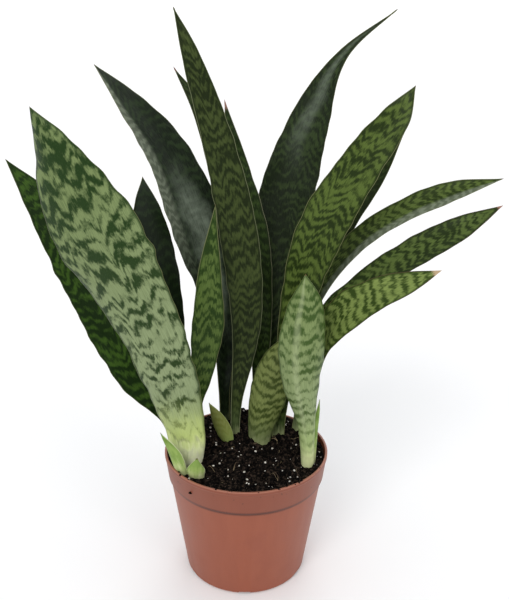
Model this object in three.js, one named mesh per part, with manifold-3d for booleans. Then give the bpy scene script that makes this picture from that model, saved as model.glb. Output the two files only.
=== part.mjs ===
// A snake plant growing in a round nursery pot: four tufts of sword-shaped leaves that stand on short
// rootstocks, buried in peat, in a thin-walled moulded pot with a banded rim.
// Millimetres, +Z up. The origin is the centre of the pot's underside, on the surface it stands on.
// -Y is the front. Every leaf is a lens-shaped section swept up its own midrib.
import * as THREE from 'three';
import { ParametricGeometry } from 'three/addons/geometries/ParametricGeometry.js';
import { mergeVertices } from 'three/addons/utils/BufferGeometryUtils.js';
import Module from 'manifold-3d';

// ---- Driving dimensions ----

// Pot
const POT_HEIGHT = 95;
const RIM_RADIUS = 60;
const RIM_BAND_HEIGHT = 19;
const RIM_BAND_TAPER = 2.5;
const BAND_STEP = 1.3;
const BASE_RADIUS = 44.7;
const BASE_CORNER_RADIUS = 3;
const WALL = 1.6;
const LIP_ROLL = 0.8;
const FLOOR_THICKNESS = 2.5;
const FOOT_HEIGHT = 1.5;
const FOOT_WIDTH = 5;
const CENTRE_PAD_RADIUS = 12;
const DRAIN_HOLE_RADIUS = 4.5;
const DRAIN_HOLE_COUNT = 6;
const NOTCH_WIDTH = 8.5;
const NOTCH_HEIGHT = 2.2;
const SEGMENTS_ROUND = 60;

// Peat
const FILL_BELOW_RIM = 3.5;
const HEAP_HEIGHT = 12;
const HEAP_SPREAD_X = 42;
const HEAP_SPREAD_Y = 24;
const HEAP_OFFSET_Y = 38;
const LUMP_HEIGHT = 0.9;

// Plant
const LEAF_LENGTH_FACTOR = 1;
const LEAF_WIDTH_FACTOR = 1;
const LEAF_THICKNESS = 3.2;
const PLANTING_DEPTH = 20;
const ROOTSTOCK_RADIUS = 6;
const EDGE_TUFT_INSET = 10;
const GROWN_POT_RADIUS = 60;

// Clearances
const GAP = 0.3;
const SOCKET_GAP = 0.5;
const SEAT_DEPTH = 1.5;

// ---- Colours and finishes ----

const LEAF_GREEN = { color: 0x5f7a45, roughness: 0.45, metalness: 0 };
const LEAF_DARK_GREEN = { color: 0x2e4028, roughness: 0.35, metalness: 0 };
const SHEATH_GREEN = { color: 0xa9bd5e, roughness: 0.5, metalness: 0 };
const ROOTSTOCK_CREAM = { color: 0xd8b98a, roughness: 0.8, metalness: 0 };
const PEAT_BROWN = { color: 0x1d1512, roughness: 1, metalness: 0 };
const TERRACOTTA_PLASTIC = { color: 0xa8614a, roughness: 0.5, metalness: 0 };

// ---- Places that follow from the dimensions ----

const bandFootZ = POT_HEIGHT - RIM_BAND_HEIGHT;
const bandFootRadius = RIM_RADIUS - RIM_BAND_TAPER;
const bodyTopRadius = bandFootRadius - BAND_STEP;
const floorTop = FOOT_HEIGHT + FLOOR_THICKNESS;
const soilLevel = POT_HEIGHT - FILL_BELOW_RIM;
const soilTopRadius = RIM_RADIUS - WALL - 2 * GAP;

// The outside radius of the pot's body at a height, on its straight taper.
function bodyRadiusAt(z) {
  return THREE.MathUtils.mapLinear(z, 0, bandFootZ, BASE_RADIUS, bodyTopRadius);
}

// The edge tufts keep clear of the wall where their feet are. The leaves below are given as they
// grow in a pot of GROWN_POT_RADIUS, and they stand as much closer together as the pot is smaller.
const spread = RIM_RADIUS / GROWN_POT_RADIUS;
const edgeTuftRadius = bodyRadiusAt(soilLevel - PLANTING_DEPTH) - WALL - EDGE_TUFT_INSET * spread;

// Each tuft of leaves: the place where it comes out of the peat, seen from above, and the two ends
// of its rootstock, counted from that place.
const tufts = {
  left: { x: -edgeTuftRadius * 0.96, y: -edgeTuftRadius * 0.18, root: [[-3, -12], [2, 16]] },
  back: { x: -11 * spread, y: 25 * spread, root: [[-4, -16], [5, 13]] },
  centre: { x: 17 * spread, y: 20 * spread, root: [[-9, -9], [7, 13]] },
  right: { x: edgeTuftRadius * 0.97, y: -edgeTuftRadius * 0.06, root: [[5, -16], [-8, 20]] },
};

// ---- Leaves ----
// midrib: points of the midrib counted from the tuft's place on the peat, foot first and tip last.
// width: the blade's width at each of those points.
// face: the way the hollow side of the blade looks, at the foot and at the tip.
// fold: half the angle that the blade is rolled through, in degrees, at the foot, middle and tip.
const leaves = [];
leaves.push(
  {
    name: 'leaf_left_broad', tuft: 'left', finish: LEAF_GREEN,
    midrib: [[1, -7, 0], [0, -13, 6], [-3, -14, 31], [-21, -24, 104], [-49, -32, 164], [-69, -34, 211], [-85, -30, 248]],
    width: [14, 25, 33, 48, 66, 46, 0],
    face: [[0.1, 1, 0.2], [0.3, 1, 0.5]], fold: [60, 16, 20], wave: 1.6,
  },
  {
    name: 'leaf_left_outer', tuft: 'left', finish: LEAF_DARK_GREEN,
    midrib: [[-6, 2, 0], [-13, 9, 24], [-39, 20, 61], [-68, 31, 121], [-99, 38, 171], [-127, 40, 209]],
    width: [11, 16, 37, 44, 28, 0],
    face: [[0.5, -1, 0.1], [0.4, -1, 0.4]], fold: [60, 25, 25],
  },
  {
    name: 'leaf_left_rear', tuft: 'left', finish: LEAF_DARK_GREEN,
    midrib: [[-2, 15, 0], [-5, 25, 30], [-17, 39, 77], [-27, 48, 132], [-32, 51, 171], [-34, 52, 196]],
    width: [12, 16, 27, 34, 22, 0],
    face: [[0.4, -1, 0.1], [0.3, -1, 0.3]], fold: [60, 35, 30],
  },
  {
    name: 'leaf_left_inner', tuft: 'left', finish: LEAF_GREEN,
    midrib: [[6, 5, 0], [3, 4, 31], [9, 2, 66], [14, 2, 102], [16, 2, 141], [21, 2, 186]],
    width: [10, 12, 20, 25, 17, 0],
    face: [[0.7, -0.7, 0], [0.3, -1, 0.1]], fold: [65, 30, 40],
  },
  {
    name: 'leaf_back_tall', tuft: 'back', finish: LEAF_GREEN,
    midrib: [[2, -10, 0], [3, -11, 31], [10, -9, 93], [6, -13, 154], [-7, -19, 219], [-24, -21, 274], [-36, -19, 306]],
    width: [9, 9, 22, 26, 20, 11, 0],
    face: [[0.2, -1, 0], [-0.2, -1, 0.1]], fold: [65, 25, 35],
  },
  {
    name: 'leaf_back_arching', tuft: 'back', finish: LEAF_DARK_GREEN,
    midrib: [[-6, 4, 0], [-7, 5, 39], [-8, 13, 97], [-24, 25, 150], [-48, 29, 210], [-73, 25, 245], [-95, 17, 272]],
    width: [10, 11, 30, 44, 33, 19, 0],
    face: [[0.3, -1, 0], [0.6, -1, 0]], fold: [70, 32, 25],
  },
  {
    name: 'leaf_back_narrow', tuft: 'back', finish: LEAF_DARK_GREEN,
    midrib: [[4, 9, 0], [0, 13, 31], [5, 29, 92], [-3, 43, 164], [-21, 51, 230], [-45, 53, 271]],
    width: [9, 9, 20, 21, 15, 0],
    face: [[0, -1, 0], [0, -1, 0.2]], fold: [65, 35, 35],
  },
  {
    name: 'leaf_centre_short', tuft: 'centre', finish: LEAF_GREEN,
    midrib: [[-7, -12, 0], [-8, -15, 10], [-4, -16, 35], [0, -18, 55], [5, -22, 76], [12, -26, 96]],
    width: [15, 22, 29, 29, 20, 0],
    face: [[0.2, 1, 0], [0.4, 0.9, 0.4]], fold: [75, 40, 40],
  },
  {
    name: 'leaf_centre_slim', tuft: 'centre', finish: LEAF_DARK_GREEN,
    midrib: [[-7, 4, 0], [-8, 8, 36], [-8, 13, 92], [-14, 16, 152], [-25, 18, 202], [-34, 18, 250]],
    width: [9, 11, 19, 25, 18, 0],
    face: [[0.2, -1, 0], [0.2, -1, 0.1]], fold: [65, 30, 35],
  },
  {
    name: 'leaf_centre_whip', tuft: 'centre', finish: LEAF_DARK_GREEN,
    midrib: [[0, 12, 0], [-2, 18, 32], [2, 30, 102], [10, 40, 173], [27, 40, 236], [47, 34, 279], [82, 26, 309]],
    width: [11, 13, 28, 43, 30, 9, 0],
    face: [[0.1, -1, 0], [-0.3, -1, -0.1]], fold: [65, 32, 55],
  },
  {
    name: 'leaf_centre_broad', tuft: 'centre', finish: LEAF_GREEN,
    midrib: [[7, -5, 0], [8, -6, 32], [19, -7, 114], [33, -11, 166], [56, -12, 208], [78, -12, 240], [90, -10, 261]],
    width: [10, 13, 26, 34, 29, 20, 0],
    face: [[0, -1, 0], [-0.3, -1, 0.2]], fold: [65, 28, 30],
  },
  {
    name: 'leaf_right_short', tuft: 'right', finish: LEAF_GREEN,
    midrib: [[3, -17, 0], [0, -22, 33], [-5, -30, 68], [-6, -35, 98], [-5, -38, 129], [-6, -37, 149]],
    width: [9, 15, 29, 34, 23, 0],
    face: [[-0.2, 1, 0.1], [0.1, 1, 0.1]], fold: [75, 45, 40],
  },
  {
    name: 'leaf_right_low', tuft: 'right', finish: LEAF_GREEN,
    midrib: [[1, -4, 0], [2, -4, 39], [9, -10, 86], [21, -19, 113], [41, -27, 131], [60, -31, 141], [80, -33, 151]],
    width: [9, 9, 24, 32, 26, 16, 0],
    face: [[-1, -0.3, 0.2], [-0.2, -0.6, 0.8]], fold: [65, 30, 30],
  },
  {
    name: 'leaf_right_middle', tuft: 'right', finish: LEAF_GREEN,
    midrib: [[1, 5, 0], [3, 7, 34], [11, 9, 95], [41, 13, 127], [75, 17, 149], [105, 19, 166], [132, 19, 183]],
    width: [9, 9, 20, 24, 26, 20, 0],
    face: [[-1, -0.3, 0.2], [-0.3, -0.7, 0.7]], fold: [65, 30, 30],
  },
  {
    name: 'leaf_right_high', tuft: 'right', finish: LEAF_GREEN,
    midrib: [[-2, 14, 0], [2, 19, 36], [6, 30, 104], [35, 37, 149], [69, 41, 173], [102, 43, 187], [138, 41, 198]],
    width: [9, 9, 18, 20, 20, 17, 0],
    face: [[-1, -0.3, 0.2], [-0.3, -0.8, 0.6]], fold: [65, 30, 30],
  },
  {
    name: 'leaf_right_rear', tuft: 'right', finish: LEAF_DARK_GREEN,
    midrib: [[-8, 22, 0], [0, 30, 32], [2, 44, 99], [22, 52, 153], [50, 54, 197], [68, 53, 229]],
    width: [9, 11, 20, 21, 14, 0],
    face: [[-0.3, -1, 0], [-0.3, -1, 0.2]], fold: [65, 35, 35],
  },
);

// Young shoots and the short leaf sheaths that clasp the foot of a tuft.
leaves.push(
  {
    name: 'shoot_back', tuft: 'back', finish: LEAF_GREEN,
    midrib: [[-5, -17, 0], [-3, -20, 1], [-6, -20, 12], [-11, -19, 24], [-17, -18, 36]],
    width: [7, 9, 14, 11, 0],
    face: [[0.3, 1, 0], [0.3, 1, 0]], fold: [60, 35, 30], young: true,
  },
  {
    name: 'sheath_left_outer', tuft: 'left', finish: SHEATH_GREEN,
    midrib: [[-3, -14, 0], [-3, -22, 0], [-9, -22, 14], [-18, -16, 28]],
    width: [10, 11, 13, 0],
    face: [[0.6, 0.8, 0], [0.6, 0.8, 0.4]], fold: [50, 40, 30], young: true,
  },
  {
    name: 'sheath_left_front', tuft: 'left', finish: SHEATH_GREEN,
    midrib: [[8, -18, 0], [11, -29, 0], [12, -30, 8], [12, -29, 16]],
    width: [8, 9, 9, 0],
    face: [[0, 1, 0], [0, 1, 0]], fold: [50, 40, 30], young: true,
  },
  {
    name: 'sheath_right', tuft: 'right', finish: SHEATH_GREEN,
    midrib: [[6, -10, 0], [7, -11, 19], [8, -11, 35], [9, -11, 50]],
    width: [6, 9, 8, 0],
    face: [[-0.8, 0.5, 0], [-0.8, 0.5, 0]], fold: [50, 40, 30], young: true,
  },
);

// ---- Solids ----

const wasm = await Module();
wasm.setup();

// A three.js geometry as a solid: shared corners are merged and collapsed triangles are dropped.
function solidFrom(geometry) {
  const bare = geometry.clone();
  bare.deleteAttribute('normal');
  bare.deleteAttribute('uv');
  const merged = mergeVertices(bare, 1e-4);
  const corners = [];
  for (let i = 0; i < merged.index.count; i += 3) {
    const triangle = [0, 1, 2].map((k) => merged.index.getX(i + k));
    if (new Set(triangle).size === 3) corners.push(...triangle);
  }
  return new wasm.Manifold(new wasm.Mesh({
    numProp: 3,
    vertProperties: merged.attributes.position.array,
    triVerts: new Uint32Array(corners),
  }));
}

function geometryFrom(solid) {
  const mesh = solid.getMesh();
  const geometry = new THREE.BufferGeometry();
  geometry.setAttribute('position', new THREE.BufferAttribute(mesh.vertProperties, 3));
  geometry.setIndex(new THREE.BufferAttribute(mesh.triVerts, 1));
  geometry.computeVertexNormals();
  return geometry;
}

// Cutting leaves crumbs behind where two cuts nearly meet; the piece itself is the largest body.
function largestBody(solid) {
  return solid.decompose().reduce((a, b) => (b.volume() > a.volume() ? b : a));
}

// ---- Leaves and sheaths ----

// A smooth curve through the points, with equal steps of its parameter between each pair.
function smoothCurve(points) {
  return new THREE.CatmullRomCurve3(points.map((p) => new THREE.Vector3(...p)), false, 'catmullrom');
}

// The midrib starts PLANTING_DEPTH under the peat. Above its foot it lengthens with
// LEAF_LENGTH_FACTOR, and it fans out further from the foot as the blades get broader.
function midribOf(leaf) {
  const tuft = tufts[leaf.tuft];
  const [footX, footY] = leaf.midrib[0];
  const fan = LEAF_LENGTH_FACTOR * LEAF_WIDTH_FACTOR;
  return smoothCurve(leaf.midrib.map(([x, y, z], i) => [
    tuft.x + spread * (footX + (x - footX) * fan),
    tuft.y + spread * (footY + (y - footY) * fan),
    soilLevel + (i ? z * LEAF_LENGTH_FACTOR : -PLANTING_DEPTH),
  ]));
}

// The foot keeps its width, because its neighbours in the tuft clasp it; the blade above is scaled.
function widthOf(leaf) {
  return smoothCurve(leaf.width.map((w, i) => [w * spread * (i ? LEAF_WIDTH_FACTOR : 1), 0, 0]));
}

// One leaf, or with grow the room that it needs in the peat. Round the section, u runs from one
// edge over the hollow face to the other edge and back underneath; up the leaf, v runs from the
// foot's centre, over the foot's rim, to the tip.
function leafSolid(leaf, grow = 0) {
  const SECTION_POINTS = 12;
  const rings = leaf.young ? 8 : 2 * leaf.midrib.length + 2;
  const midrib = midribOf(leaf);
  const widths = widthOf(leaf);
  const folds = smoothCurve(leaf.fold.map((degrees) => [THREE.MathUtils.degToRad(degrees), 0, 0]));
  const faces = smoothCurve(leaf.face);
  const thickness = leaf.young ? LEAF_THICKNESS * 0.6 : LEAF_THICKNESS;

  const surface = (u, v, target) => {
    const ring = v * rings;
    const t = Math.max(0, (ring - 1) / (rings - 1));
    const open = Math.min(1, ring, rings - ring);
    const along = midrib.getTangent(t);
    const face = faces.getPoint(t);
    face.addScaledVector(along, -face.dot(along)).normalize();
    const across = new THREE.Vector3().crossVectors(along, face);

    const width = Math.max(0, widths.getPoint(t).x);
    const halfWidth = (width / 2 + grow) * open;
    const fold = folds.getPoint(t).x;
    const taper = Math.min(1, width / ((leaf.young ? 5 : 9) * spread));
    const halfThickness = ((thickness / 2) * taper * (1.25 - 0.45 * t) + grow) * open;
    const turn = 2 * Math.PI * (u % 1);
    const side = -Math.cos(turn);
    const bend = side * fold;
    const radius = halfWidth / fold;
    const normal = face.clone().multiplyScalar(Math.cos(bend)).addScaledVector(across, -Math.sin(bend));
    const ripple = (leaf.wave ?? 0) * side * side * Math.sin(7 * Math.PI * t + side) * Math.min(1, width / 30);

    target.copy(midrib.getPoint(t));
    target.addScaledVector(across, radius * Math.sin(bend));
    target.addScaledVector(face, radius * (1 - Math.cos(bend)) + ripple * open);
    target.addScaledVector(normal, halfThickness * Math.sin(turn));
    if (ring <= 1) target.addScaledVector(along, -grow);
  };
  return solidFrom(new ParametricGeometry(surface, SECTION_POINTS, rings));
}

// ---- Rootstocks ----

// A short thick stem with round ends, lying just under the feet of its tuft's leaves.
function rootstockSolid(tuft, grow = 0) {
  const SECTION_POINTS = 12;
  const RINGS = 10;
  const depth = soilLevel - PLANTING_DEPTH - ROOTSTOCK_RADIUS + SEAT_DEPTH;
  const [start, end] = tuft.root.map(([x, y]) => (
    new THREE.Vector3(tuft.x + x * spread, tuft.y + y * spread, depth)));
  const along = end.clone().sub(start).normalize();
  const across = new THREE.Vector3().crossVectors(along, new THREE.Vector3(0, 0, 1));
  const surface = (u, v, target) => {
    const reach = -Math.cos(Math.PI * v);
    const radius = (ROOTSTOCK_RADIUS + grow) * Math.pow(Math.max(0, 1 - Math.pow(reach, 4)), 0.5);
    const turn = 2 * Math.PI * (u % 1);
    target.copy(start).lerp(end, (reach + 1) / 2);
    target.addScaledVector(along, grow * reach);
    target.addScaledVector(across, radius * Math.cos(turn));
    target.z -= radius * Math.sin(turn);
  };
  return solidFrom(new ParametricGeometry(surface, SECTION_POINTS, RINGS));
}

// ---- Pot ----

function potSolid() {
  const corner = BASE_CORNER_RADIUS;
  const profile = [
    [0, 0],
    [CENTRE_PAD_RADIUS, 0],
    [CENTRE_PAD_RADIUS + FOOT_HEIGHT, FOOT_HEIGHT],
    [BASE_RADIUS - corner - FOOT_WIDTH, FOOT_HEIGHT],
    [BASE_RADIUS - corner - FOOT_WIDTH + FOOT_HEIGHT, 0],
    [BASE_RADIUS - corner, 0],
    [BASE_RADIUS - corner * 0.29, corner * 0.29],
    [bodyRadiusAt(corner), corner],
    [bodyTopRadius, bandFootZ],
    [bandFootRadius, bandFootZ + BAND_STEP / 2],
    [RIM_RADIUS, POT_HEIGHT - LIP_ROLL],
    [RIM_RADIUS - LIP_ROLL, POT_HEIGHT],
    [RIM_RADIUS - WALL, POT_HEIGHT - LIP_ROLL / 2],
    [bandFootRadius - WALL, bandFootZ],
    [bodyTopRadius - WALL, bandFootZ - BAND_STEP],
    [bodyRadiusAt(floorTop + corner) - WALL, floorTop + corner],
    [bodyRadiusAt(floorTop) - WALL - corner, floorTop],
    [0, floorTop],
  ];
  const outline = profile.map(([radius, z]) => new THREE.Vector2(radius, z));
  const shell = new THREE.LatheGeometry(outline, SEGMENTS_ROUND).rotateX(Math.PI / 2);
  let pot = solidFrom(shell);
  const notchRadius = BASE_RADIUS - FOOT_WIDTH / 2;
  const holeRadius = (CENTRE_PAD_RADIUS + BASE_RADIUS - FOOT_WIDTH) / 2;
  for (let i = 0; i < DRAIN_HOLE_COUNT; i += 1) {
    const angle = (i / DRAIN_HOLE_COUNT) * 2 * Math.PI - Math.PI / 2;
    const notch = new THREE.BoxGeometry(2 * FOOT_WIDTH + 8, NOTCH_WIDTH, 2 * NOTCH_HEIGHT);
    notch.translate(notchRadius + 2, 0, 0).rotateZ(angle);
    const hole = new THREE.CylinderGeometry(DRAIN_HOLE_RADIUS, DRAIN_HOLE_RADIUS, 4 * floorTop, 16);
    hole.rotateX(Math.PI / 2).translate(holeRadius, 0, 0).rotateZ(angle);
    pot = pot.subtract(solidFrom(notch)).subtract(solidFrom(hole));
  }
  return pot;
}

// ---- Peat ----

// The height of the peat at a place: level by the wall, heaped towards the back, and lumpy.
function soilHeight(x, y) {
  const nearWall = Math.pow(Math.min(1, Math.hypot(x, y) / soilTopRadius), 10);
  const heap = Math.exp(-0.5 * ((x / HEAP_SPREAD_X) ** 2 + ((y - HEAP_OFFSET_Y) / HEAP_SPREAD_Y) ** 2));
  const lumps = Math.sin(x * 0.31 + 1) * Math.sin(y * 0.27) + 0.6 * Math.sin(x * 0.53 - y * 0.41);
  return soilLevel + (HEAP_HEIGHT * heap + LUMP_HEIGHT * lumps) * (1 - nearWall);
}

function soilSolid(cuts) {
  const TOP_RINGS = 8;
  const clear = WALL + GAP;
  const corner = BASE_CORNER_RADIUS;
  const wallRadius = RIM_RADIUS - RIM_BAND_TAPER * ((POT_HEIGHT - soilLevel) / RIM_BAND_HEIGHT) - clear;
  const profile = [
    [0, floorTop + GAP],
    [bodyRadiusAt(floorTop) - corner - clear, floorTop + GAP],
    [bodyRadiusAt(floorTop + corner) - clear, floorTop + corner + GAP],
    [bodyTopRadius - clear, bandFootZ - BAND_STEP],
    [bandFootRadius - clear, bandFootZ + GAP],
  ];
  for (let i = 0; i <= TOP_RINGS; i += 1) profile.push([wallRadius * (1 - i / TOP_RINGS), soilLevel]);
  const outline = profile.map(([radius, z]) => new THREE.Vector2(radius, z));
  const plug = new THREE.LatheGeometry(outline, SEGMENTS_ROUND).rotateX(Math.PI / 2);
  const place = plug.attributes.position;
  for (let i = 0; i < place.count; i += 1) {
    if (place.getZ(i) > soilLevel - GAP) place.setZ(i, soilHeight(place.getX(i), place.getY(i)));
  }
  const socketed = cuts.reduce((solid, cut) => solid.subtract(cut), solidFrom(plug));
  return largestBody(socketed);
}

// ---- Assembly ----

const plant = new THREE.Group();

function addNode(name, finish, solid) {
  const mesh = new THREE.Mesh(geometryFrom(solid), new THREE.MeshStandardMaterial(finish));
  mesh.name = name;
  plant.add(mesh);
}

const sockets = [];
for (const [name, tuft] of Object.entries(tufts)) {
  addNode(`rootstock_${name}`, ROOTSTOCK_CREAM, rootstockSolid(tuft));
  sockets.push(rootstockSolid(tuft, SOCKET_GAP));
}
for (const leaf of leaves) {
  const seat = rootstockSolid(tufts[leaf.tuft], GAP);
  addNode(leaf.name, leaf.finish, largestBody(leafSolid(leaf).subtract(seat)));
  sockets.push(leafSolid(leaf, SOCKET_GAP));
}
addNode('potting_soil', PEAT_BROWN, soilSolid(sockets));
addNode('pot', TERRACOTTA_PLASTIC, potSolid());

export default plant;
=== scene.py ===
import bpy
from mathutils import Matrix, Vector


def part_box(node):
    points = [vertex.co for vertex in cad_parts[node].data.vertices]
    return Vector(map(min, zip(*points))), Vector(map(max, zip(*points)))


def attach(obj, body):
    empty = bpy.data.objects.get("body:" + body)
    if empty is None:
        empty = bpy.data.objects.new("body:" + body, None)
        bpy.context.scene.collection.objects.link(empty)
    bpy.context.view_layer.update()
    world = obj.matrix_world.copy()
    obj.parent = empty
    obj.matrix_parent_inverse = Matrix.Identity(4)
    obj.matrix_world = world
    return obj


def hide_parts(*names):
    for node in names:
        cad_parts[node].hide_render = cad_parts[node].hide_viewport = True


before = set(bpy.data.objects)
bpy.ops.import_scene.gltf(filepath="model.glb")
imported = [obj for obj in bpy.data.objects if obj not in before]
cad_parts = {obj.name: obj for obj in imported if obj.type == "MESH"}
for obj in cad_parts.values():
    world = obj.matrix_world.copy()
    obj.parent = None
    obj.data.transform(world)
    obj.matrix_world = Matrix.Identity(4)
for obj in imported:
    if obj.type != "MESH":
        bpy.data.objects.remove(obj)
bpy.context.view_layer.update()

import math
import random

import bmesh
import bpy
from mathutils import Matrix, Vector, noise


# ---- Viewpoint ----
# The plant is seen from the front and a little above, from about half a metre away. All lengths in
# this script are metres unless a name or comment says millimetres.
MM = 0.001
EYE = Vector((5, -459, 362)) * MM
LOOK_DOWN = math.radians(18.35)
ROLL = math.radians(0.6)
LENS_MM = 42

camera = bpy.data.objects.new("camera", bpy.data.cameras.new("camera"))
camera.data.lens = LENS_MM
camera.data.clip_start = 0.01
camera.matrix_world = (Matrix.Translation(EYE)
                       @ Matrix.Rotation(math.pi / 2 - LOOK_DOWN, 4, "X")
                       @ Matrix.Rotation(ROLL, 4, "Z"))
bpy.context.scene.collection.objects.link(camera)
bpy.context.scene.camera = camera


# ---- Pot ----
# One injection-moulded nursery pot of thin terracotta-coloured plastic: a tapered body, a deeper
# rim band that steps out over it, a rolled lip, a foot with notches and a floor with drain holes.
POT_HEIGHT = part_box("pot")[1].z
RIM_RADIUS = 60 * MM
RIM_BAND_HEIGHT = 19 * MM
RIM_BAND_TAPER = 2.5 * MM
BAND_STEP = 1.3 * MM
BASE_RADIUS = 44.7 * MM
BASE_CORNER = 3 * MM
WALL = 1.6 * MM
LIP_HEIGHT = 2.4 * MM
LIP_STEP = 0.45 * MM
FOOT_HEIGHT = 1.5 * MM
FOOT_WIDTH = 5 * MM
FLOOR_TOP = 4 * MM
CENTRE_PAD_RADIUS = 12 * MM
DRAIN_HOLE_RADIUS = 4.5 * MM
DRAIN_HOLES = 6
NOTCH_WIDTH = 8.5 * MM
NOTCH_HEIGHT = 2.2 * MM
POT_SEGMENTS = 144
POT_EDGE = 0.5 * MM

band_foot = POT_HEIGHT - RIM_BAND_HEIGHT
band_foot_radius = RIM_RADIUS - RIM_BAND_TAPER
body_top_radius = band_foot_radius - BAND_STEP


def body_radius(z):
    """The pot's outside radius at a height, on the straight taper of its body."""
    return BASE_RADIUS + (body_top_radius - BASE_RADIUS) * z / band_foot


def shade(red, green, blue):
    """A colour given as a paint chart gives it, 0 to 255, as the share of light that it returns."""
    return tuple((c / 255 / 12.92) if c < 10 else ((c / 255 + 0.055) / 1.055) ** 2.4
                 for c in (red, green, blue))


def new_piece(name, bm, finish, smooth_angle=None):
    """Makes a finished object of a bmesh, which it frees."""
    mesh = bpy.data.meshes.new(name)
    bm.to_mesh(mesh)
    bm.free()
    mesh.polygons.foreach_set("use_smooth", [True] * len(mesh.polygons))
    if smooth_angle:
        mesh.set_sharp_from_angle(angle=math.radians(smooth_angle))
    mesh.materials.append(finish)
    piece = bpy.data.objects.new(name, mesh)
    bpy.context.scene.collection.objects.link(piece)
    return piece


class Field:
    """A shader socket that can stand in a sum: each operator adds the Math node that works it out."""

    def __init__(self, finish, socket):
        self.finish = finish
        self.socket = socket

    def maths(self, operation, first, second=None, clamp=False):
        inputs = {0: first} if second is None else {0: first, 1: second}
        settings = {"operation": operation, "use_clamp": clamp}
        return self.finish.node("ShaderNodeMath", settings, inputs)

    def __add__(self, other):
        return self.maths("ADD", self, other)

    __radd__ = __add__

    def __sub__(self, other):
        return self.maths("SUBTRACT", self, other)

    def __rsub__(self, other):
        return self.maths("SUBTRACT", other, self)

    def __mul__(self, other):
        return self.maths("MULTIPLY", self, other)

    __rmul__ = __mul__

    def __abs__(self):
        return self.maths("ABSOLUTE", self)

    def sine(self):
        return self.maths("SINE", self)

    def held(self):
        """The value held between 0 and 1."""
        return self.maths("ADD", self, 0.0, clamp=True)

    def rise(self, low, high):
        """0 below low, 1 above high and a smooth rise between them."""
        return self.finish.node("ShaderNodeMapRange", {"interpolation_type": "SMOOTHSTEP"},
                                {"Value": self, "From Min": low, "From Max": high})


class Finish:
    """A material being made: a skin shader with its constant values, and the nodes that feed it."""

    def __init__(self, name, **constants):
        self.material = bpy.data.materials.new(name)
        self.material.use_nodes = True
        self.tree = self.material.node_tree
        self.skin = self.tree.nodes["Principled BSDF"]
        for socket, value in constants.items():
            self.skin.inputs[socket.replace("_", " ")].default_value = value

    def node(self, kind, settings=None, inputs=None, output=0):
        """Adds a node, its settings first and then its sockets, and gives one of its outputs."""
        made = self.tree.nodes.new(kind)
        for name, value in (settings or {}).items():
            setattr(made, name, value)
        for key, value in (inputs or {}).items():
            socket = self.socket_of(made.inputs, key)
            if isinstance(value, Field):
                self.tree.links.new(value.socket, socket)
            else:
                socket.default_value = value
        return Field(self, self.socket_of(made.outputs, output))

    @staticmethod
    def socket_of(sockets, key):
        if isinstance(key, int):
            return sockets[key]
        return next((s for s in sockets if s.identifier == key), None) or sockets[key]

    def blend(self, factor, first, second):
        """Mixes two colours, each a Field or red, green and blue."""
        first, second = [c if isinstance(c, Field) else (*c, 1) for c in (first, second)]
        return self.node("ShaderNodeMix", {"data_type": "RGBA"},
                         {"Factor_Float": factor, "A_Color": first, "B_Color": second},
                         "Result_Color")

    def parts(self, vector):
        """The three numbers of a vector."""
        first = self.node("ShaderNodeSeparateXYZ", None, {0: vector})
        return [Field(self, socket) for socket in first.socket.node.outputs]

    def place(self):
        """The point on the piece, in metres."""
        return self.node("ShaderNodeTexCoord", output="Object")

    def cloud(self, place, scale, detail=2.0, roughness=0.5):
        """Soft noise from 0 to 1 at a place, finer along an axis whose scale is greater."""
        if not isinstance(scale, tuple):
            scale = (scale, scale, scale)
        place = self.node("ShaderNodeVectorMath", {"operation": "MULTIPLY"}, {0: place, 1: scale})
        return self.node("ShaderNodeTexNoise", None, {"Vector": place, "Scale": 1.0,
                                                      "Detail": detail, "Roughness": roughness})

    def feed(self, **links):
        for socket, value in links.items():
            self.tree.links.new(value.socket, self.skin.inputs[socket.replace("_", " ")])

    def relief(self, height, distance, strength=1.0):
        """Raises the surface by a height field, over a distance in metres."""
        self.feed(Normal=self.node("ShaderNodeBump", None, {
            "Strength": strength, "Distance": distance, "Height": height}))


def pot_plastic():
    """Satin plastic with faint flow marks, a dusty haze, scuffs and specks of peat near the rim."""
    finish = Finish("pot_plastic", IOR=1.48)
    place = finish.place()
    height = finish.parts(place)[2]
    flow = finish.cloud(place, (150, 150, 16), 4, 0.6)
    bloom_and_sheen = finish.cloud(place, 30, 3)
    grit = finish.cloud(place, 900, 3, 0.7)
    colour = finish.blend((flow * 0.6 + bloom_and_sheen * 0.6 - 0.15).held(), shade(130, 64, 40),
                          shade(151, 83, 58))
    colour = finish.blend(bloom_and_sheen.rise(0.52, 0.75) * 0.4, colour, shade(124, 62, 44))
    # Painted shade: the rim band is coloured darker than the body below it.
    band_shade = height.rise(band_foot, band_foot + BAND_STEP)
    colour = finish.blend(band_shade * 0.45, colour, shade(106, 56, 40))
    # Painted shadow: a dark line along the foot of the rim band, where it steps out over the body.
    groove_shadow = 1 - abs(height - band_foot).rise(0.5 * MM, 2.4 * MM)
    colour = finish.blend(groove_shadow * 0.85, colour, shade(66, 32, 24))
    # Painted highlight: the top of the lip is coloured lighter.
    lip_highlight = height.rise(POT_HEIGHT - 0.9 * MM, POT_HEIGHT - 0.2 * MM)
    colour = finish.blend(lip_highlight * 0.45, colour, shade(186, 128, 106))
    specks = finish.cloud(place, 420, 2, 0.4).rise(0.72, 0.75)
    near_rim = height.rise(POT_HEIGHT - 30 * MM, POT_HEIGHT)
    colour = finish.blend(specks * near_rim * 0.9, colour, shade(38, 28, 22))
    finish.feed(Base_Color=colour, Roughness=0.36 + bloom_and_sheen * 0.18 + grit * 0.08)
    finish.relief(flow * 0.6 + grit * 0.2 + bloom_and_sheen, 0.2 * MM, 0.6)
    return finish.material


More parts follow.
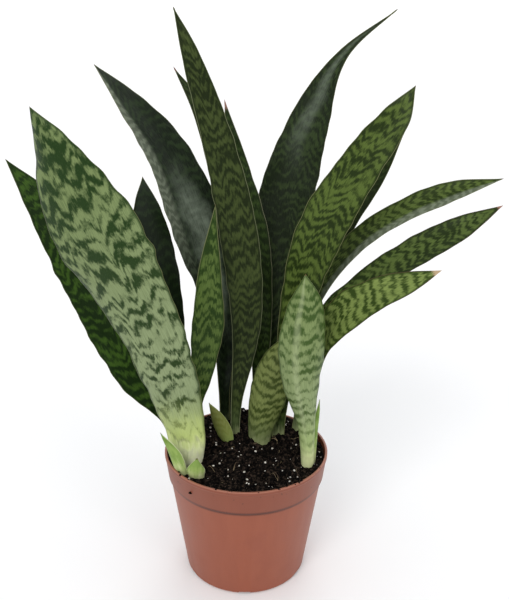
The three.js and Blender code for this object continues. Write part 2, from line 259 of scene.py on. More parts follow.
pot_bm = bmesh.new()
outline = [pot_bm.verts.new((radius, 0, z)) for radius, z in (
    (0, 0),
    (CENTRE_PAD_RADIUS, 0),
    (CENTRE_PAD_RADIUS + FOOT_HEIGHT, FOOT_HEIGHT),
    (BASE_RADIUS - BASE_CORNER - FOOT_WIDTH, FOOT_HEIGHT),
    (BASE_RADIUS - BASE_CORNER - FOOT_WIDTH + FOOT_HEIGHT, 0),
    (BASE_RADIUS - BASE_CORNER * 0.5, 0),
    (body_radius(BASE_CORNER * 0.5), BASE_CORNER * 0.5),
    (body_top_radius, band_foot - 0.2 * MM),
    (band_foot_radius, band_foot + BAND_STEP / 2),
    (RIM_RADIUS - LIP_STEP, POT_HEIGHT - LIP_HEIGHT - LIP_STEP),
    (RIM_RADIUS, POT_HEIGHT - LIP_HEIGHT),
    (RIM_RADIUS, POT_HEIGHT),
    (RIM_RADIUS - WALL, POT_HEIGHT),
    (band_foot_radius - WALL, band_foot),
    (body_top_radius - WALL, band_foot - BAND_STEP),
    (body_radius(FLOOR_TOP) - WALL, FLOOR_TOP),
    (0, FLOOR_TOP),
)]
outline += [pot_bm.edges.new(pair) for pair in zip(outline, outline[1:])]
bmesh.ops.spin(pot_bm, geom=outline, cent=(0, 0, 0), axis=(0, 0, 1), angle=2 * math.pi,
               steps=POT_SEGMENTS, use_merge=True)
bmesh.ops.remove_doubles(pot_bm, verts=pot_bm.verts, dist=1e-6)
bmesh.ops.recalc_face_normals(pot_bm, faces=pot_bm.faces)
corners = [edge for edge in pot_bm.edges if edge.calc_face_angle(0) > math.radians(12)]
bmesh.ops.bevel(pot_bm, geom=corners, offset=POT_EDGE, segments=3, profile=0.5, affect="EDGES",
                clamp_overlap=True, material=-1)
plastic = pot_plastic()
pot_shape = new_piece("pot_shape", pot_bm, plastic)

cutter_bm = bmesh.new()
for i in range(DRAIN_HOLES):
    turn = Matrix.Rotation(i / DRAIN_HOLES * 2 * math.pi - math.pi / 2, 4, "Z")
    out = Matrix.Translation((BASE_RADIUS, 0, 0))
    size = Matrix.Diagonal((3 * FOOT_WIDTH, NOTCH_WIDTH, 2 * NOTCH_HEIGHT, 1))
    bmesh.ops.create_cube(cutter_bm, size=1, matrix=turn @ out @ size)
    out = Matrix.Translation(((CENTRE_PAD_RADIUS + BASE_RADIUS - FOOT_WIDTH) / 2, 0, 0))
    bmesh.ops.create_cone(cutter_bm, cap_ends=True, segments=32, radius1=DRAIN_HOLE_RADIUS,
                          radius2=DRAIN_HOLE_RADIUS, depth=4 * FLOOR_TOP, matrix=turn @ out)
pot_cutter = new_piece("pot_cutter", cutter_bm, plastic)
cut = pot_shape.modifiers.new("cut", "BOOLEAN")
cut.object = pot_cutter
pot_bm = bmesh.new()
pot_bm.from_object(pot_shape, bpy.context.evaluated_depsgraph_get())
pot = new_piece("nursery_pot", pot_bm, plastic, smooth_angle=35)
bpy.data.objects.remove(pot_shape)
bpy.data.objects.remove(pot_cutter)
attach(pot, "root")
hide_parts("pot")


# ---- Peat ----
# Dark moss peat pressed into the pot by hand: level behind the front rim, heaped towards the back,
# with clods and crumbs over all of it. It is one plug, down to the pot's floor.
SOIL_LEVEL = POT_HEIGHT - 3.5 * MM
SOIL_RADIUS = RIM_RADIUS - WALL - 0.8 * MM
HEAP_HEIGHT = 12 * MM
HEAP_SPREAD_X = 42 * MM
HEAP_SPREAD_Y = 24 * MM
HEAP_OFFSET_Y = 38 * MM
CLOD_HEIGHT = 6.5 * MM
CLOD_SPACING = 11 * MM
CRUMB_HEIGHT = 3.0 * MM
CRUMB_SPACING = 3.2 * MM
FINE_SPACING = 1.7 * MM
SOIL_GRID = 180


def soil_height(x, y):
    """The height of the peat's surface at a place."""
    near_wall = min(1, math.hypot(x, y) / SOIL_RADIUS) ** 10
    heap = math.exp(-0.5 * ((x / HEAP_SPREAD_X) ** 2 + ((y - HEAP_OFFSET_Y) / HEAP_SPREAD_Y) ** 2))
    clods = noise.fractal(Vector((x, y, 0)) / CLOD_SPACING, 1.0, 2.1, 3) * 0.5
    crumbs = 0.5 - noise.voronoi(Vector((x, y, 3 * MM)) / CRUMB_SPACING)[0][0]
    fine = noise.fractal(Vector((x, y, 0)) / FINE_SPACING, 0.8, 2.0, 2) * 0.35
    lumps = CLOD_HEIGHT * clods + CRUMB_HEIGHT * (crumbs + fine)
    return SOIL_LEVEL + HEAP_HEIGHT * heap * (1 - near_wall) + lumps * (1 - 0.6 * near_wall)


def peat_skin():
    """Near-black, fibrous and matt, brown dust on the crumbs, damp hollows, painted shade in the
    pits.
    """
    finish = Finish("peat", Roughness=0.95, IOR=1.4, Specular_IOR_Level=0.1)
    place = finish.place()
    crumbs = finish.cloud(place, 420, 4, 0.65)
    patches = finish.cloud(place, 60)
    # Dark in the low points of the crumb relief: the peat's own colour, deepened as painted shade.
    colour = finish.blend(crumbs.rise(0.48, 0.66), shade(5, 4, 4), shade(62, 51, 43))
    colour = finish.blend(patches.rise(0.45, 0.7) * 0.6, colour, shade(14, 11, 9))
    dust = finish.cloud(place, 1500).rise(0.66, 0.74)
    colour = finish.blend(dust * 0.7, colour, shade(128, 106, 86))
    finish.feed(Base_Color=colour)
    finish.relief(crumbs + finish.cloud(place, 1300, 3) * 0.4, 0.9 * MM, 0.8)
    return finish.material


soil_bm = bmesh.new()
bmesh.ops.create_grid(soil_bm, x_segments=SOIL_GRID, y_segments=SOIL_GRID, size=SOIL_RADIUS)
for vert in soil_bm.verts:
    x, y = vert.co.xy / SOIL_RADIUS
    vert.co.x = x * math.sqrt(1 - y * y / 2) * SOIL_RADIUS
    vert.co.y = y * math.sqrt(1 - x * x / 2) * SOIL_RADIUS
    vert.co.z = soil_height(vert.co.x, vert.co.y)
edges = [edge for edge in soil_bm.edges if edge.is_boundary]
for radius, z in ((body_top_radius - WALL - 0.6 * MM, band_foot - 2 * BAND_STEP),
                  (body_radius(FLOOR_TOP) - WALL - 2 * MM, FLOOR_TOP + 0.4 * MM)):
    dropped = bmesh.ops.extrude_edge_only(soil_bm, edges=edges)["geom"]
    edges = [item for item in dropped if isinstance(item, bmesh.types.BMEdge) and item.is_boundary]
    for vert in {vert for edge in edges for vert in edge.verts}:
        vert.co.xy = vert.co.xy.normalized() * radius
        vert.co.z = z
bmesh.ops.holes_fill(soil_bm, edges=edges, sides=0)
bmesh.ops.recalc_face_normals(soil_bm, faces=soil_bm.faces)
peat = peat_skin()
soil = new_piece("peat_plug", soil_bm, peat)
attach(soil, "root")
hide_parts("potting_soil")


# ---- Rootstocks ----
# Each tuft grows from a short thick rhizome just under the peat. They are hidden, so the plain
# solids stay, with a skin of cream bark and darker rings.
def rootstock_skin():
    """Cream bark with darker rings."""
    finish = Finish("rootstock", Roughness=0.8)
    rings = finish.cloud(finish.place(), (260, 650, 260), 3)
    finish.feed(Base_Color=finish.blend(rings, shade(170, 138, 96), shade(220, 195, 150)))
    finish.relief(rings, 0.5 * MM)
    return finish.material


rhizome = rootstock_skin()
for name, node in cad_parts.items():
    if name.startswith("rootstock"):
        node.data.materials.clear()
        node.data.materials.append(rhizome)


# ---- Left tuft ----
# Stiff succulent blades, each rolled into a channel at its foot and opening to a flat sword with a
# horny cusp. The broad one leans to the front; two darker ones stand behind it, one beside it.
# Sizes of leaves are millimetres.
PLANTING_DEPTH = 20
LEAF_THICKNESS = 3.2
ROUND_BLADE = 32
RING_STEP = 2.6
CUSP_WIDTH = 1.1
EDGE_NICK = 0.07
NICK_LENGTH = 11
EDGE_SWAY = 1.6
SWAY_LENGTH = 26
WIDE_BLADE = 24

left_tuft = (-42.1, -7.9)


def smooth_curve(points, share):
    """The place at a share of the way along a smooth curve through evenly counted points."""
    place = share * (len(points) - 1)
    i = min(int(place), len(points) - 2)
    u = place - i
    here, there = points[i], points[i + 1]
    before = points[i - 1] if i else 2 * here - there
    after = points[i + 2] if i + 2 < len(points) else 2 * there - here
    leave = (there - before) / 2
    arrive = (after - here) / 2
    return (here + leave * u + (3 * (there - here) - 2 * leave - arrive) * u ** 2
            + (2 * (here - there) + leave + arrive) * u ** 3)


def grow_leaf(node, tuft, midrib, width, face, fold, skin, wave=0.0,
              young=False):
    """Makes a leaf from points of its midrib, counted in millimetres from the tuft's place on the
    peat, its width at each, the way its hollow side looks, and half the angle it is rolled by."""
    spine = [Vector((tuft[0] + x, tuft[1] + y, SOIL_LEVEL / MM + (z if i else -PLANTING_DEPTH)))
             for i, (x, y, z) in enumerate(midrib)]
    faces = [Vector(f) for f in face]
    thickness = LEAF_THICKNESS * (0.6 if young else 1)
    rough_length = sum((b - a).length for a, b in zip(spine, spine[1:]))
    rings = round(rough_length / RING_STEP)
    stations = [smooth_curve(spine, i / rings) for i in range(rings + 1)]
    lengths = [0.0]
    for a, b in zip(stations, stations[1:]):
        lengths.append(lengths[-1] + (b - a).length)

    bm = bmesh.new()
    blade = bm.verts.layers.float_vector.new("blade")
    bmesh.ops.create_cone(bm, cap_ends=True, cap_tris=True, segments=ROUND_BLADE, radius1=1,
                          radius2=1, depth=1)
    upright = [edge for edge in bm.edges if abs(edge.verts[0].co.z - edge.verts[1].co.z) > 0.5]
    bmesh.ops.subdivide_edges(bm, edges=upright, cuts=rings - 1, use_grid_fill=True)
    for vert in bm.verts:
        ring = round((vert.co.z + 0.5) * rings)
        t = ring / rings
        open_share = 0 if ring == rings or vert.co.xy.length < 0.5 else 1
        turn = math.atan2(vert.co.y, vert.co.x)
        side = -math.cos(turn)
        along = (smooth_curve(spine, min(1, t + 1e-4)) - smooth_curve(spine, max(0, t - 1e-4)))
        along.normalize()
        hollow = smooth_curve(faces, t)
        hollow = (hollow - along * hollow.dot(along)).normalized()
        across = along.cross(hollow)
        wide = max(CUSP_WIDTH, smooth_curve(width, t))
        nick = noise.noise(Vector((lengths[ring] / NICK_LENGTH, math.copysign(4, side), len(node))))
        wide *= 1 + EDGE_NICK * nick * side ** 2 * min(1, wide / WIDE_BLADE)
        bend = math.radians(smooth_curve(fold, t))
        taper = min(1, wide / (5 if young else 9))
        half_thick = max(0.35, thickness / 2 * taper * (1.25 - 0.45 * t)) * open_share
        lens = math.sin(turn) * abs(math.sin(turn)) ** 0.6
        radius = wide / 2 * open_share / bend
        lift = wave * side ** 2 * math.sin(7 * math.pi * t + side) * min(1, wide / 30)
        sway = noise.noise(Vector((lengths[ring] / SWAY_LENGTH, side * 1.3, len(node) + tuft[0])))
        lift += EDGE_SWAY * sway * side ** 2 * min(1, wide / WIDE_BLADE)
        point = stations[ring] + across * radius * math.sin(side * bend)
        point += hollow * (radius * (1 - math.cos(side * bend)) + lift * open_share)
        point += (hollow * math.cos(side * bend) - across * math.sin(side * bend)) * half_thick * lens
        vert.co = point * MM
        vert[blade] = (side, lengths[ring], wide / 2)
    bmesh.ops.remove_doubles(bm, verts=bm.verts, dist=1e-6)
    bmesh.ops.recalc_face_normals(bm, faces=bm.faces)
    piece = new_piece(node.replace("leaf_", "blade_"), bm, skin(node, lengths[-1]))
    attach(piece, "root")
    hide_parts(node)


def leaf_skin(dark, light, dark_top=None, light_top=None, flush=(112, 128, 84),
              foot=(150, 158, 112), rooted=40, period=7.5, arch=30, jag=3.0, patchy=3.0,
              blotch=1.0, share=0.0, fading=0.0, contrast=1.0, gloss=0.36, shine=0.12,
              edge=(128, 130, 88), tip=(92, 78, 50), dry=1.5, seed=0.0, margin_sheen=None,
              bloom_and_sheen=None, keel_highlight=None):
    """A leathery skin: ragged bands across the blade, pale on dark, drawn out into fine streaks
    along it. The foot pales, the margin is a thin horny line, and the cusp is dry.
    The bands lie a period apart, bow by arch, are ragged by jag and break up by patchy, in patches
    as fine as blotch; share is how much is pale, and fading how that changes towards the tip.
    The last three paint light: a duller, paler sheen along one margin, a patch of waxy-looking
    highlight, and a pale highlight along a keeled crease."""
    def made(name, length):
        finish = Finish(name, IOR=1.45, Specular_IOR_Level=shine)
        lane, along, half = finish.parts(
            finish.node("ShaderNodeAttribute", {"attribute_name": "blade"}, None, "Vector"))
        rim = half * (1 - abs(lane))
        spot = finish.node("ShaderNodeCombineXYZ", None, {0: lane * half, 1: along, 2: seed})
        arcs = finish.cloud(spot, (0.09, 0.01, 1), 1)
        spacing = finish.cloud(spot, (0.01, 0.03, 1), 1)
        teeth = finish.cloud(spot, (0.5, 0.06, 1), 3, 0.6)
        regions = finish.cloud(spot, (0.045, 0.03, 1), 2)
        patches = finish.cloud(spot, (0.17 * blotch, 0.16 * blotch, 1), 3, 0.6)
        streaks = finish.cloud(spot, (1.7, 0.06, 1), 3, 0.6)
        grain = finish.cloud(spot, (2.0, 0.6, 1), 3, 0.6)

        # How far up the blade, and how far each place is into a band or the gap after it.
        up = along.rise(length * 0.3, length * 0.9)
        drift = (arcs - 0.5) * arch + (spacing - 0.5) * 14 + (teeth - 0.5) * (jag * 4)
        waves = ((along + drift) * (2 * math.pi / period)).sine()
        bands = waves * 0.55 + (patches - 0.5) * patchy + (regions - 0.5) * 2.2
        bands = bands + (grain - 0.5) * 1.2 + (streaks - 0.5) * 1.1 + share + up * fading
        bands = bands.rise(-0.65, 0.65) * rim.rise(0.2, 2.4) * contrast

        dark_side = finish.blend(up, shade(*dark), shade(*(dark_top or dark)))
        light_side = finish.blend(up, shade(*light), shade(*(light_top or light)))
        light_side = finish.blend(streaks.rise(0.42, 0.72) * 0.4, light_side, dark_side)
        colour = finish.blend(bands, dark_side, light_side)
        colour = finish.blend(grain.rise(0.55, 0.8) * 0.25, colour, light_side)
        colour = finish.blend(patches.rise(0.38, 0.22) * 0.4, colour, dark_side)
        # Painted sheen: paler, duller grey-green along one margin, where the blade curves away.
        if margin_sheen:
            inner, outer, begin = margin_sheen
            sheen_mask = lane.rise(inner, outer) * (0.5 + waves.rise(-0.5, 0.8) * 0.4)
            sheen_mask = sheen_mask * along.rise(length * begin, length * (begin + 0.2))
            colour = finish.blend(sheen_mask, colour, shade(112, 120, 102))
        # Painted highlight: a pale, waxy-looking patch across the middle, where gloss would catch
        # light.
        if bloom_and_sheen:
            middle, begin, end, most = bloom_and_sheen
            sheen_patch = 1 - abs(lane - middle + (regions - 0.5) * 1.2).rise(0.05, 0.6)
            sheen_patch = sheen_patch * along.rise(length * begin, length * (begin + 0.16))
            sheen_patch = sheen_patch * (1 - along.rise(length * (end - 0.16), length * end))
            sheen_patch = sheen_patch * (0.35 + patches.rise(0.3, 0.7) * 0.4 + streaks.rise(0.3, 0.7) * 0.25)
            colour = finish.blend(sheen_patch * most, colour, shade(118, 129, 112))
        # Painted highlight: a pale line along a keeled crease of the blade.
        if keel_highlight:
            ridge_highlight = 1 - abs(lane - keel_highlight + (regions - 0.5) * 0.3).rise(0.02, 0.2)
            colour = finish.blend(ridge_highlight * 0.28, colour, shade(176, 186, 144))

        # The foot, the horny margin and the dry cusp.
        reach = along + (teeth - 0.5) * 20 + (patches - 0.5) * 12
        low = 1 - reach.rise(PLANTING_DEPTH + 6, PLANTING_DEPTH + rooted)
        colour = finish.blend(low * (0.5 + bands * 0.4), colour, shade(*flush))
        lowest = 1 - reach.rise(PLANTING_DEPTH, PLANTING_DEPTH + rooted * 0.45)
        colour = finish.blend(lowest * 0.9, colour, shade(*foot))
        colour = finish.blend((1 - rim.rise(0.1, 0.5)) * 0.7, colour, shade(*edge))
        worn = (along + (grain - 0.5) * dry).rise(length - dry, length - dry * 0.6)
        colour = finish.blend(worn, colour, shade(*tip))

        finish.feed(Base_Color=colour,
                    Roughness=gloss + (streaks - 0.5) * 0.16 + bands * 0.07 + worn * 0.3)
        finish.relief(streaks * 0.7 + grain * 0.25 + patches * 0.5, 0.3 * MM, 0.6)
        return finish.material
    return made


grow_leaf("leaf_left_broad", left_tuft,
          [(1, -7, 0), (0, -13, 6), (-3, -14, 31), (-21, -24, 104), (-49, -32, 164), (-69, -34, 211),
           (-85, -30, 248)],
          [14, 25, 33, 48, 66, 46, 0], [(0.1, 1, 0.2), (0.3, 1, 0.5)], [60, 16, 20],
          leaf_skin((38, 56, 24), (134, 147, 108), (29, 52, 16), (112, 128, 80),
                    flush=(196, 210, 122), foot=(238, 238, 206), rooted=62, period=12, arch=40,
                    jag=3.4, patchy=4.6, blotch=0.62, share=0.3, fading=-0.4, seed=1.0, gloss=0.4),
          wave=1.6)
grow_leaf("leaf_left_outer", left_tuft,
          [(-6, 2, 0), (-13, 9, 24), (-39, 20, 61), (-68, 31, 121), (-99, 38, 171), (-127, 40, 209)],
          [11, 16, 37, 44, 28, 0], [(0.5, -1, 0.1), (0.4, -1, 0.4)], [60, 25, 25],
          leaf_skin((22, 40, 10), (59, 86, 28), period=9, share=-0.25, seed=2.0,
                    flush=(74, 92, 48)))
grow_leaf("leaf_left_rear", left_tuft,
          [(-2, 15, 0), (-5, 25, 30), (-17, 39, 77), (-27, 48, 132), (-32, 51, 171), (-34, 52, 196)],
          [12, 16, 27, 34, 22, 0], [(0.4, -1, 0.1), (0.3, -1, 0.3)], [60, 35, 30],
          leaf_skin((13, 26, 7), (38, 56, 24), share=-0.35, seed=3.0, contrast=0.6,
                    shine=0.2, gloss=0.3, flush=(40, 52, 30)))
grow_leaf("leaf_left_inner", left_tuft,
          [(6, 5, 0), (3, 4, 31), (9, 2, 66), (14, 2, 102), (16, 2, 141), (21, 2, 186)],
          [10, 12, 20, 25, 17, 0], [(0.7, -0.7, 0), (0.3, -1, 0.1)], [65, 30, 40],
          leaf_skin((33, 53, 13), (86, 106, 50), period=9, jag=4.4, patchy=4, blotch=0.8,
                    contrast=0.9, seed=4.0, flush=(96, 118, 58)))


# ---- Back tuft ----
# The tallest blade, slim and finely zigzagged, with a broad dark one that arches to the left and a
# narrow one behind them, and a young shoot at their foot.
back_tuft = (-11, 25)
grow_leaf("leaf_back_tall", back_tuft,
          [(2, -10, 0), (3, -11, 31), (10, -9, 93), (6, -13, 154), (-7, -19, 219), (-24, -21, 274),
           (-36, -19, 306)],
          [9, 9, 22, 27, 22, 13, 0], [(0.2, -1, 0), (-0.2, -1, 0.1)], [65, 25, 35],
          leaf_skin((25, 35, 8), (68, 80, 39), period=8, arch=34, jag=3.6, patchy=3.2, blotch=0.8,
                    share=-0.05, contrast=0.8, seed=5.0, edge=(124, 130, 96),
                    flush=(78, 92, 58)))
grow_leaf("leaf_back_arching", back_tuft,
          [(-6, 4, 0), (-7, 5, 39), (-8, 13, 97), (-24, 25, 150), (-48, 29, 210), (-73, 25, 245),
           (-95, 17, 272)],
          [10, 11, 30, 44, 33, 19, 0], [(0.3, -1, 0), (0.6, -1, 0)], [70, 32, 25],
          leaf_skin((14, 26, 8), (44, 62, 30), share=-0.3, contrast=0.6, seed=6.0, shine=0.2,
                    gloss=0.28, flush=(52, 62, 44), margin_sheen=(-0.45, -0.7, 0.42),
                    bloom_and_sheen=(0.05, 0.27, 0.76, 1)))
grow_leaf("leaf_back_narrow", back_tuft,
          [(4, 9, 0), (0, 13, 31), (5, 29, 92), (-3, 43, 164), (-21, 51, 230), (-45, 53, 271)],
          [9, 9, 20, 21, 15, 0], [(0, -1, 0), (0, -1, 0.2)], [65, 35, 35],
          leaf_skin((27, 37, 16), (60, 73, 38), share=-0.2, contrast=0.7, seed=7.0,
                    tip=(120, 92, 80), dry=5, flush=(60, 72, 46)))
grow_leaf("shoot_back", back_tuft,
          [(-5, -17, 0), (-3, -20, 1), (-6, -20, 12), (-11, -19, 24), (-17, -18, 36)],
          [7, 9, 14, 11, 0], [(0.3, 1, 0), (0.3, 1, 0)], [60, 35, 30],
          leaf_skin((112, 118, 58), (142, 148, 88), period=6, contrast=0.4, seed=8.0, rooted=24,
                    flush=(126, 142, 74), foot=(130, 150, 86), edge=(168, 178, 118)),
          young=True)


# ---- Centre tuft ----
# Two long blades, one dark with a whip-like end and one broad and clearly banded, a slim one
# beside them and a short pale one in front.
centre_tuft = (17, 20)
grow_leaf("leaf_centre_short", centre_tuft,
          [(-7, -12, 0), (-8, -15, 10), (-4, -16, 35), (0, -18, 55), (5, -22, 76), (12, -26, 96)],
          [15, 22, 29, 29, 20, 0], [(0.2, 1, 0), (0.4, 0.9, 0.4)], [75, 40, 40],
          leaf_skin((60, 72, 30), (120, 131, 75), period=7, arch=24, jag=2, blotch=0.8, share=0.1,
                    seed=9.0, rooted=30, flush=(104, 116, 74)))
grow_leaf("leaf_centre_slim", centre_tuft,
          [(-7, 4, 0), (-8, 8, 36), (-8, 13, 92), (-14, 16, 152), (-25, 18, 202), (-34, 18, 250)],
          [9, 11, 19, 25, 18, 0], [(0.2, -1, 0), (0.2, -1, 0.1)], [65, 30, 35],
          leaf_skin((30, 44, 15), (64, 85, 38), period=7, share=-0.1, contrast=0.8, seed=10.0,
                    tip=(150, 116, 104), dry=8, edge=(150, 150, 120), flush=(70, 88, 50)))
grow_leaf("leaf_centre_whip", centre_tuft,
          [(0, 12, 0), (-2, 18, 32), (2, 30, 102), (10, 40, 173), (27, 40, 236), (47, 34, 279),
           (82, 26, 309)],
          [11, 13, 28, 43, 30, 9, 0], [(0.1, -1, 0), (-0.3, -1, -0.1)], [65, 32, 55],
          leaf_skin((21, 32, 10), (56, 73, 35), arch=36, patchy=3.4, share=-0.25,
                    contrast=0.65, seed=11.0, shine=0.2, gloss=0.28, flush=(44, 56, 34),
                    bloom_and_sheen=(-0.1, 0.6, 1, 0.55)))
grow_leaf("leaf_centre_broad", centre_tuft,
          [(7, -5, 0), (8, -6, 32), (19, -7, 114), (33, -11, 166), (56, -12, 208), (78, -12, 240),
           (90, -10, 261)],
          [10, 13, 26, 34, 29, 20, 0], [(0, -1, 0), (-0.3, -1, 0.2)], [65, 28, 30],
          leaf_skin((31, 44, 10), (81, 98, 42), period=8, blotch=0.8, share=-0.05, seed=12.0,
                    flush=(60, 76, 42)))


# ---- Right tuft ----
# Three banded blades that sweep out to the right one above the other, a darker one behind them,
# and a short, rolled, pale one that stands at the front.
right_tuft = (42.6, -2.6)
grow_leaf("leaf_right_short", right_tuft,
          [(3, -17, 0), (0, -22, 33), (-5, -30, 68), (-6, -35, 98), (-5, -38, 129), (-6, -37, 149)],
          [9, 15, 29, 34, 23, 0], [(-0.2, 1, 0.1), (0.1, 1, 0.1)], [75, 45, 40],
          leaf_skin((66, 84, 42), (142, 156, 112), (56, 78, 32), (118, 134, 84),
                    flush=(158, 176, 112), foot=(206, 212, 160), rooted=52, arch=20, jag=2.6,
                    patchy=4, blotch=0.7, share=0.2, contrast=0.9, seed=13.0, keel_highlight=0.25))
grow_leaf("leaf_right_low", right_tuft,
          [(1, -4, 0), (2, -4, 39), (9, -10, 86), (21, -19, 113), (41, -27, 131), (60, -31, 141),
           (80, -33, 151)],
          [9, 9, 24, 32, 27, 18, 0], [(-1, -0.3, 0.2), (-0.2, -0.6, 0.8)], [65, 30, 30],
          leaf_skin((45, 62, 18), (120, 137, 72), period=7, arch=18, jag=2.6, patchy=2.6,
                    share=0.1, seed=14.0, tip=(176, 152, 122), dry=7, edge=(92, 60, 46)))
grow_leaf("leaf_right_middle", right_tuft,
          [(1, 5, 0), (3, 7, 34), (11, 9, 95), (41, 13, 127), (75, 17, 149), (105, 19, 166),
           (132, 19, 183)],
          [9, 9, 20, 24, 26, 20, 0], [(-1, -0.3, 0.2), (-0.3, -0.7, 0.7)], [65, 30, 30],
          leaf_skin((31, 44, 12), (81, 98, 46), period=7, arch=22, blotch=0.8, share=-0.05,
                    seed=15.0, dry=5, tip=(150, 112, 96), edge=(104, 84, 66)))
grow_leaf("leaf_right_high", right_tuft,
          [(-2, 14, 0), (2, 19, 36), (6, 30, 104), (35, 37, 149), (69, 41, 173), (102, 43, 187),
           (138, 41, 198)],
          [9, 9, 18, 20, 20, 17, 0], [(-1, -0.3, 0.2), (-0.3, -0.8, 0.6)], [65, 30, 30],
          leaf_skin((36, 49, 13), (84, 101, 46), period=7, arch=22, blotch=0.8, share=-0.05,
                    seed=16.0, dry=3, margin_sheen=(0.25, 0.6, 0.3)))
grow_leaf("leaf_right_rear", right_tuft,
          [(-8, 22, 0), (0, 30, 32), (2, 44, 99), (22, 52, 153), (50, 54, 197), (68, 53, 229)],
          [9, 11, 20, 21, 14, 0], [(-0.3, -1, 0), (-0.3, -1, 0.2)], [65, 35, 35],
          leaf_skin((30, 40, 17), (59, 74, 36), share=-0.2, contrast=0.6, seed=17.0))


# ---- Sheaths ----
# The short outermost leaves of a tuft, which clasp its foot: thin, pale yellow-green and papery,
# with a white margin.
def sheath_skin(seed):
    """Pale, with faint green streaks."""
    return leaf_skin((100, 128, 54), (146, 168, 92), flush=(150, 170, 98),
                     foot=(196, 202, 150), rooted=30, period=12, contrast=0.6, seed=seed,
                     edge=(214, 214, 178), gloss=0.45)


grow_leaf("sheath_left_outer", left_tuft,
          [(-3, -14, 0), (-4, -24, 0), (-9, -22, 14), (-18, -16, 28)],
          [10, 13, 14, 0], [(0.6, 0.8, 0), (0.6, 0.8, 0.4)], [50, 40, 30],
          sheath_skin(18.0), young=True)
grow_leaf("sheath_left_front", left_tuft,
          [(7, -18, 0), (8, -30, 0), (8, -32, 8), (9, -31, 17)],
          [8, 12, 13, 0], [(0, 1, 0), (0, 1, 0)], [50, 40, 30],
          sheath_skin(19.0), young=True)
grow_leaf("sheath_right", right_tuft,
          [(6, -10, 0), (7, -11, 19), (8, -11, 35), (9, -11, 50)],
          [6, 9, 8, 0], [(-0.8, 0.5, 0), (-0.8, 0.5, 0)], [50, 40, 30],
          sheath_skin(20.0), young=True)


# ---- Loose peat crumbs ----
# Crumbs and small clods that lie on the plug, a few of them spilt on the pot's rim, and one stuck
# to its band.
CRUMBS = 520
CRUMB_SIZES = 0.4 * MM, 1.5 * MM
CLODS = 46
CLOD_SIZES = 1.5 * MM, 3.4 * MM
RIM_CRUMBS = 16
RIM_CRUMB_SIZES = 0.4 * MM, 1.0 * MM
SPILT_AT = math.radians(-58)
STUCK_AT = Vector((-37.6, -45.2, 85)) * MM
STUCK_SIZE = 1.3 * MM

chance = random.Random(11)


def add_bit(bm, place, size, squash=0.7):
    """A lump of uneven shape, lying at a place."""
    turn = Matrix.Rotation(chance.uniform(0, math.tau), 4, "Z")
    tilt = Matrix.Rotation(chance.uniform(-0.7, 0.7), 4, "X")
    stretch = Matrix.Diagonal((chance.uniform(0.8, 1.3), 1, squash, 1))
    made = bmesh.ops.create_icosphere(bm, subdivisions=1, radius=size,
                                      matrix=Matrix.Translation(place) @ turn @ tilt @ stretch)
    for vert in made["verts"]:
        vert.co += (vert.co - place) * chance.uniform(-0.28, 0.28)


def on_soil(reach=0.97):
    """A chance place on the peat's surface."""
    angle = chance.uniform(0, math.tau)
    radius = SOIL_RADIUS * reach * math.sqrt(chance.random())
    x, y = radius * math.cos(angle), radius * math.sin(angle)
    return Vector((x, y, soil_height(x, y)))


crumb_bm = bmesh.new()
for i in range(CRUMBS):
    add_bit(crumb_bm, on_soil(), chance.uniform(*CRUMB_SIZES))
for i in range(CLODS):
    add_bit(crumb_bm, on_soil(0.93), chance.uniform(*CLOD_SIZES), 0.65)
for i in range(RIM_CRUMBS):
    angle = chance.gauss(SPILT_AT, 0.09) if i % 2 else chance.uniform(math.pi, math.tau)
    radius = RIM_RADIUS - WALL * chance.uniform(0.1, 1.2)
    place = Vector((radius * math.cos(angle), radius * math.sin(angle), POT_HEIGHT + 0.1 * MM))
    add_bit(crumb_bm, place, chance.uniform(*RIM_CRUMB_SIZES))
add_bit(crumb_bm, STUCK_AT, STUCK_SIZE)
crumbs = new_piece("peat_crumbs", crumb_bm, peat)
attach(crumbs, "root")


# ---- Perlite ----
# White grains of puffed volcanic glass, mixed into the peat; those at the surface show.
PERLITE_GRAINS = 150
GRAIN_SIZES = 0.25 * MM, 0.95 * MM


def perlite_skin():
    """Chalky white, pitted, and dusty with peat low down."""
    finish = Finish("perlite", Roughness=0.9)
    pits = finish.cloud(finish.place(), 1600, 3)
    finish.feed(Base_Color=finish.blend(pits.rise(0.35, 0.6), shade(150, 138, 120),
                                        shade(232, 228, 218)))
    finish.relief(pits, 0.3 * MM)
    return finish.material


grain_bm = bmesh.new()
for i in range(PERLITE_GRAINS):
    place = on_soil()
    size = chance.uniform(*GRAIN_SIZES)
    add_bit(grain_bm, place + Vector((0, 0, size * 0.3)), size, 0.8)
perlite = new_piece("perlite_grains", grain_bm, perlite_skin())
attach(perlite, "root")


# ---- Root hairs ----
# Fine dry roots and moss fibres, cream to brown, lying over the peat.
HAIRS = 26
HAIR_LENGTHS = 4 * MM, 11 * MM
HAIR_RADII = 0.1 * MM, 0.22 * MM


def hair_skin():
    """Dry straw-coloured fibre."""
    finish = Finish("root_hairs", Roughness=0.75)
    tone = finish.cloud(finish.place(), 140)
    finish.feed(Base_Color=finish.blend(tone.rise(0.35, 0.65), shade(84, 64, 44),
                                        shade(168, 148, 112)))
    return finish.material


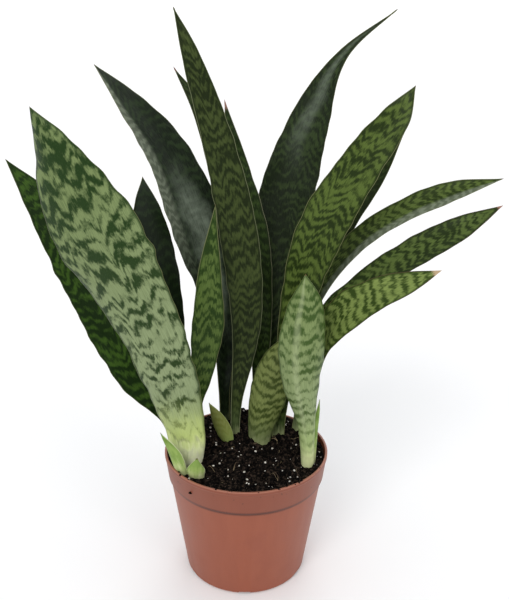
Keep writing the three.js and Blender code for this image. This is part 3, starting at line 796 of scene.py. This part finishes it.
hair_bm = bmesh.new()
for i in range(HAIRS):
    start = on_soil(0.9)
    heading = chance.uniform(0, math.tau)
    length = chance.uniform(*HAIR_LENGTHS)
    thick = chance.uniform(*HAIR_RADII)
    curl = chance.uniform(-0.9, 0.9)
    already = len(hair_bm.verts)
    bmesh.ops.create_cone(hair_bm, cap_ends=True, segments=5, radius1=thick, radius2=thick * 0.4,
                          depth=length)
    long_edges = dict.fromkeys(
        edge for vert in list(hair_bm.verts)[already:] for edge in vert.link_edges
        if abs(edge.verts[0].co.z - edge.verts[1].co.z) > length / 2)
    bmesh.ops.subdivide_edges(hair_bm, edges=list(long_edges), cuts=4)
    for vert in list(hair_bm.verts)[already:]:
        u = vert.co.z / length + 0.5
        way = heading + curl * u
        middle = start + Vector((math.cos(way), math.sin(way), 0)) * length * (u - 0.5)
        middle.z = soil_height(middle.x, middle.y) + (0.5 + 1.2 * math.sin(u * math.pi)) * MM
        vert.co = middle + Vector((-math.sin(way) * vert.co.x, math.cos(way) * vert.co.x, vert.co.y))
bmesh.ops.recalc_face_normals(hair_bm, faces=hair_bm.faces)
hairs = new_piece("root_hairs", hair_bm, hair_skin())
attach(hairs, "root")


# ---- Floor and light ----
# A plain pale floor that curves up into a low wall far away on every side, a large soft light above
# on the left, weaker ones on the right and behind, and a pale surround.
FLOOR_PROFILE = (0, 0), (30, 0), (34, 0.4), (37, 1.3), (39, 3), (40, 5)
FLOOR_SEGMENTS = 96


def soft_light(name, place, spread, strength):
    """A far, wide light that shines evenly on everything from the side where its place is."""
    lamp = bpy.data.lights.new(name, "SUN")
    lamp.angle = math.radians(spread)
    lamp.energy = strength
    holder = bpy.data.objects.new(name, lamp)
    holder.rotation_euler = Vector(place).to_track_quat("Z", "Y").to_euler()
    bpy.context.scene.collection.objects.link(holder)


floor_bm = bmesh.new()
outline = [floor_bm.verts.new((radius, 0, z)) for radius, z in FLOOR_PROFILE]
outline += [floor_bm.edges.new(pair) for pair in zip(outline, outline[1:])]
bmesh.ops.spin(floor_bm, geom=outline, cent=(0, 0, 0), axis=(0, 0, 1), angle=2 * math.pi,
               steps=FLOOR_SEGMENTS, use_merge=True)
bmesh.ops.remove_doubles(floor_bm, verts=floor_bm.verts, dist=1e-6)
bmesh.ops.recalc_face_normals(floor_bm, faces=floor_bm.faces)
floor = new_piece("floor", floor_bm, Finish("floor", Base_Color=(0.93, 0.93, 0.93, 1),
                                            Roughness=0.9).material)
soft_light("key", (-1.3, -2.8, 2.4), 26, 1.0)
soft_light("fill", (2.2, -2.6, 1.1), 26, 0.5)
soft_light("back", (0.4, 2.6, 2.7), 34, 0.45)
world = bpy.data.worlds.new("surround")
world.use_nodes = True
background = world.node_tree.nodes["Background"]
background.inputs["Color"].default_value = (0.97, 0.98, 1.0, 1)
background.inputs["Strength"].default_value = 0.82
bpy.context.scene.world = world
bpy.context.scene.view_settings.view_transform = "Standard"
